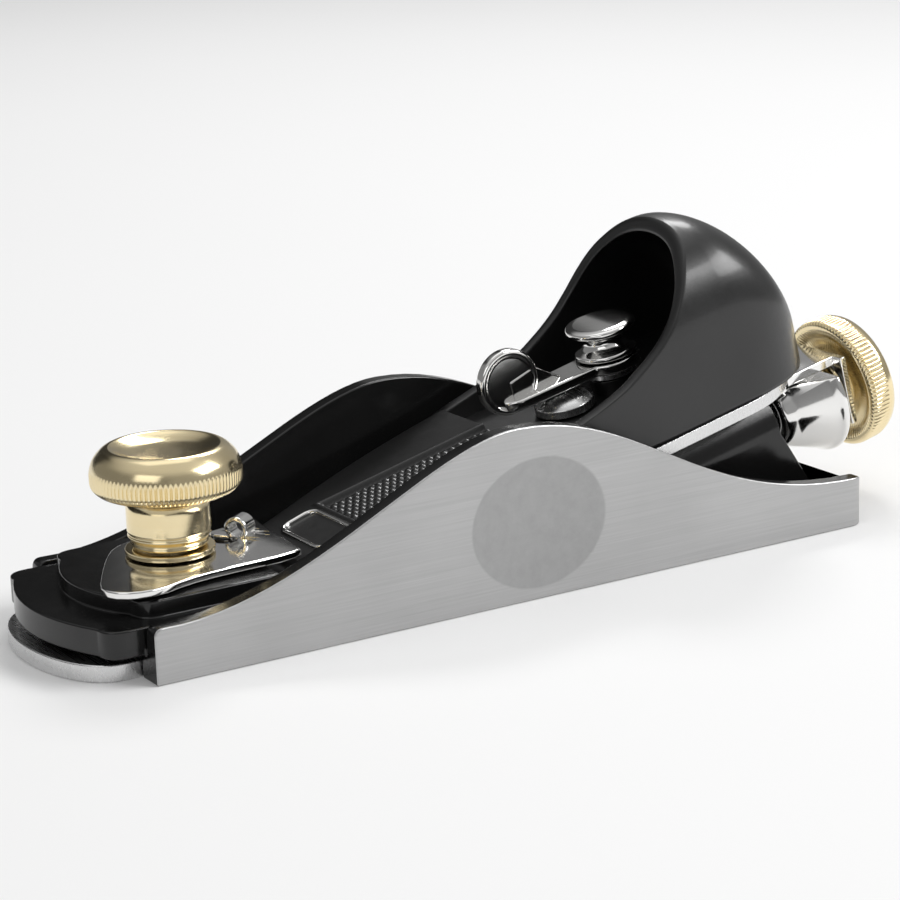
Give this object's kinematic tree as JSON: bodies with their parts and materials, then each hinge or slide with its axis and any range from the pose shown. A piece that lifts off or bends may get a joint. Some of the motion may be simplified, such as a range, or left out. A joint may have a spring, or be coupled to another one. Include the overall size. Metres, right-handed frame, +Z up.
{
  "type": "block plane",
  "caption": "Low-angle block plane with hooded lever cap, cam lever, adjustable mouth and a screw-fed cutter.",
  "frame": {"origin": "on the sole's face, half way along the sole and on its centre line", "axes": "+X towards the toe, +Y to the left cheek, +Z up"},
  "size_m": [0.1791, 0.048, 0.0587],
  "materials": {
    "body_iron": "gloss black enamel, with ground sole and cheeks",
    "cap_enamel": "gloss black enamel",
    "steel": "ground",
    "nickel_plate": "bright nickel plate",
    "brass": "turned and lacquered"
  },
  "bodies": {
    "body": {"plane_body": "body_iron", "throat_pin": "steel", "swing_pin": "steel"},
    "toe": {"toe_plate": "steel", "clamp_stud": "steel"},
    "throat": {"throat_lever": "nickel_plate"},
    "knob": {"finger_knob": "brass", "knob_washer": "brass"},
    "swing": {"swing_frame": "nickel_plate", "adjuster_stud": "steel"},
    "cutter": {"cutter_iron": "steel", "cutter_slide": "nickel_plate"},
    "wheel": {"depth_wheel": "brass"},
    "cap": {"lever_cap": "cap_enamel", "pressure_spring": "steel", "spring_rivet": "steel", "cam_washer": "steel"},
    "cam": {"cam_lever": "nickel_plate", "cam_rivet": "nickel_plate", "clamp_cam": "steel"},
    "screw": {"cap_screw": "steel"}
  },
  "joints": [
    {"name": "toe_slide", "type": "slide", "parent": "body", "child": "toe", "axis": [1, 0, 0], "range_m": [-0.0007, 0.0033]},
    {"name": "throat_swing", "type": "hinge", "parent": "toe", "child": "throat", "pos_m": [0.05185, 0, 0.013], "axis": [0, 0, 1], "range_deg": [-5.65, 26.45]},
    {"name": "knob_turn", "type": "hinge", "parent": "toe", "child": "knob", "pos_m": [0.05185, 0, 0.02], "axis": [0, 0, 1], "range_deg": [0, 180]},
    {"name": "cutter_swing", "type": "hinge", "parent": "body", "child": "swing", "pos_m": [-0.04923, 0, 0.01801], "axis": [0.2334, 0, 0.9724], "range_deg": [-1, 1]},
    {"name": "cutter_feed", "type": "slide", "parent": "swing", "child": "cutter", "axis": [-0.9724, 0, 0.2334], "range_m": [-0.0006, 0.003]},
    {"name": "wheel_turn", "type": "hinge", "parent": "cutter", "child": "wheel", "pos_m": [-0.09179, 0, 0.02062], "axis": [-0.9724, 0, 0.2334], "range_deg": [-216.6, 1080.6]},
    {"name": "cap_slide", "type": "slide", "parent": "body", "child": "cap", "axis": [-0.9724, 0, 0.2334], "range_m": [0, 0.008]},
    {"name": "cam_turn", "type": "hinge", "parent": "cap", "child": "cam", "pos_m": [-0.03831, 0, 0.03349], "axis": [0.2334, 0, 0.9724], "range_deg": [0, 34]},
    {"name": "screw_turn", "type": "hinge", "parent": "body", "child": "screw", "pos_m": [-0.02878, 0, 0.02607], "axis": [0.2334, 0, 0.9724], "range_deg": [0, 360]}
  ],
  "couplings": [
    {"joint": "throat_swing", "follows": "toe_slide", "rad_per_m": 139.63},
    {"joint": "wheel_turn", "follows": "cutter_feed", "rad_per_m": 6283.2}
  ]
}
